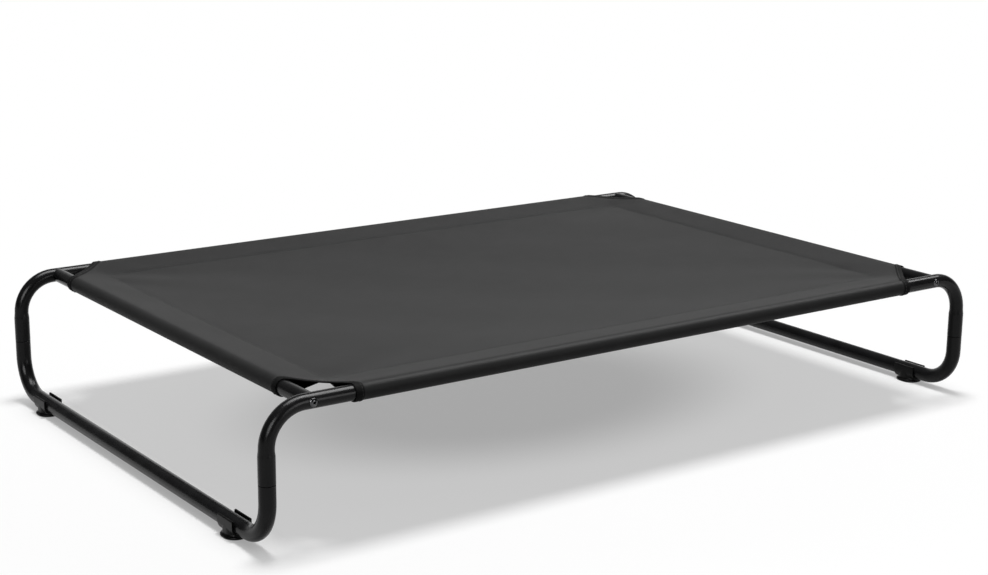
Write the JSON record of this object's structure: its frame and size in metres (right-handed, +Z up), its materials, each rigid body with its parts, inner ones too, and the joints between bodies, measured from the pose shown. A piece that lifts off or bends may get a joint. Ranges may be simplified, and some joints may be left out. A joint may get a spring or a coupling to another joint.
{
  "type": "raised dog cot",
  "caption": "Raised dog cot: a dark cloth sling with sewn sleeves stretched on a bolted frame of bent steel tube, standing on push-fit base bars with clip-on rubber feet.",
  "frame": {"origin": "on the floor under the middle of the cot", "axes": "+X along the length, +Y across the width to the back long rail, +Z up"},
  "size_m": [1.2626, 0.8072, 0.2031],
  "materials": {
    "tube_coat": "semi-gloss powder coat",
    "sling_cloth": "matt woven cloth",
    "plug_steel": "zinc plated",
    "screw_coat": "black oxide",
    "foot_rubber": "matt moulded"
  },
  "bodies": {
    "base_left": {"base_bar_left": "tube_coat", "foot_front_left": "foot_rubber", "foot_back_left": "foot_rubber"},
    "frame": {"side_rail_front": "tube_coat", "side_rail_back": "tube_coat", "cross_rail_left": "tube_coat", "cross_rail_right": "tube_coat", "sling_panel": "sling_cloth", "sleeve_front": "sling_cloth", "sleeve_back": "sling_cloth", "sleeve_left": "sling_cloth", "sleeve_right": "sling_cloth", "plug_front_left": "plug_steel", "plug_front_right": "plug_steel", "plug_back_left": "plug_steel", "plug_back_right": "plug_steel", "screw_front_left": "screw_coat", "screw_front_right": "screw_coat", "screw_back_left": "screw_coat", "screw_back_right": "screw_coat"},
    "base_right": {"base_bar_right": "tube_coat", "foot_front_right": "foot_rubber", "foot_back_right": "foot_rubber"}
  },
  "joints": [
    {"name": "frame_lift", "type": "slide", "parent": "base_left", "child": "frame", "axis": [0, 0, 1], "range_m": [0, 0.034]},
    {"name": "base_right_slide", "type": "slide", "parent": "frame", "child": "base_right", "axis": [0, 0, -1], "range_m": [0, 0.034]}
  ],
  "couplings": [
    {"joint": "base_right_slide", "follows": "frame_lift", "ratio": 1}
  ]
}
